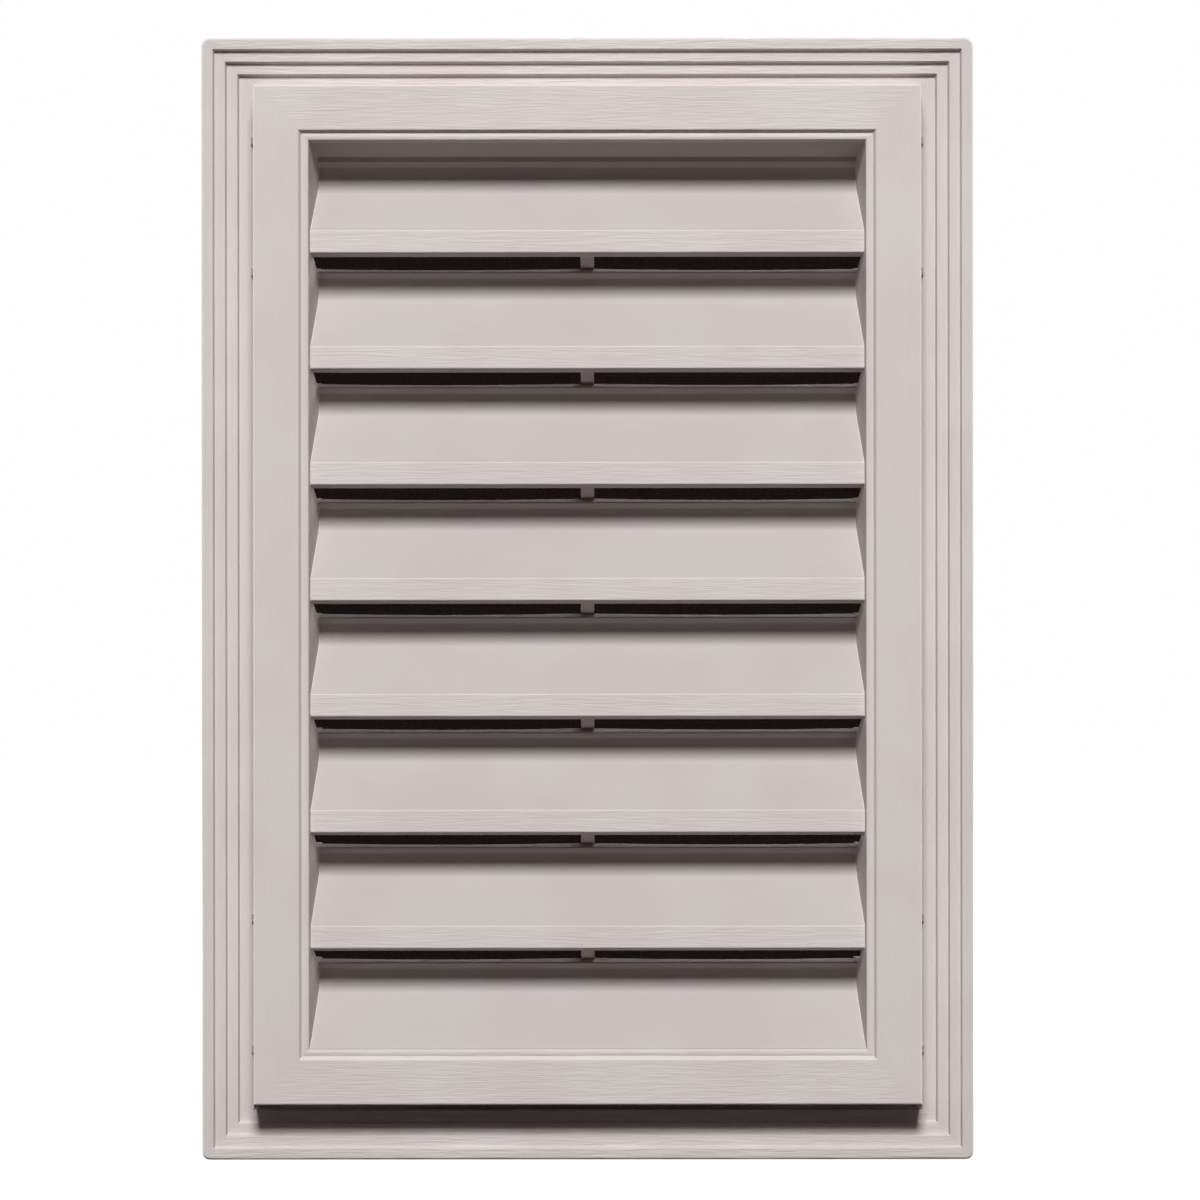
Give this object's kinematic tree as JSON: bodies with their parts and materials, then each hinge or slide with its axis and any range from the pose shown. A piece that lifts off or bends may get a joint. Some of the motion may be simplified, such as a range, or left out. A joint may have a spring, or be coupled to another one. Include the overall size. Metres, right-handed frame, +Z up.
{
  "type": "gable vent",
  "caption": "Rectangular gable vent: raised frame round sloped louvers with rain dams, a stepped trim ring clipped round it, an insect screen behind and a nailing flange for the wall.",
  "frame": {"origin": "centre of the nailing flange's back face, on the wall plane", "axes": "+X to the right seen from the front, +Y into the wall, +Z up"},
  "size_m": [0.3534, 0.0443, 0.5134],
  "materials": {
    "grained_plastic": "warm light grey moulded plastic with a fine embossed wood grain",
    "screen_mesh": "black plastic coated mesh"
  },
  "bodies": {
    "root": {"louver_body": "grained_plastic", "trim_ring": "grained_plastic", "insect_screen": "screen_mesh"}
  },
  "joints": []
}
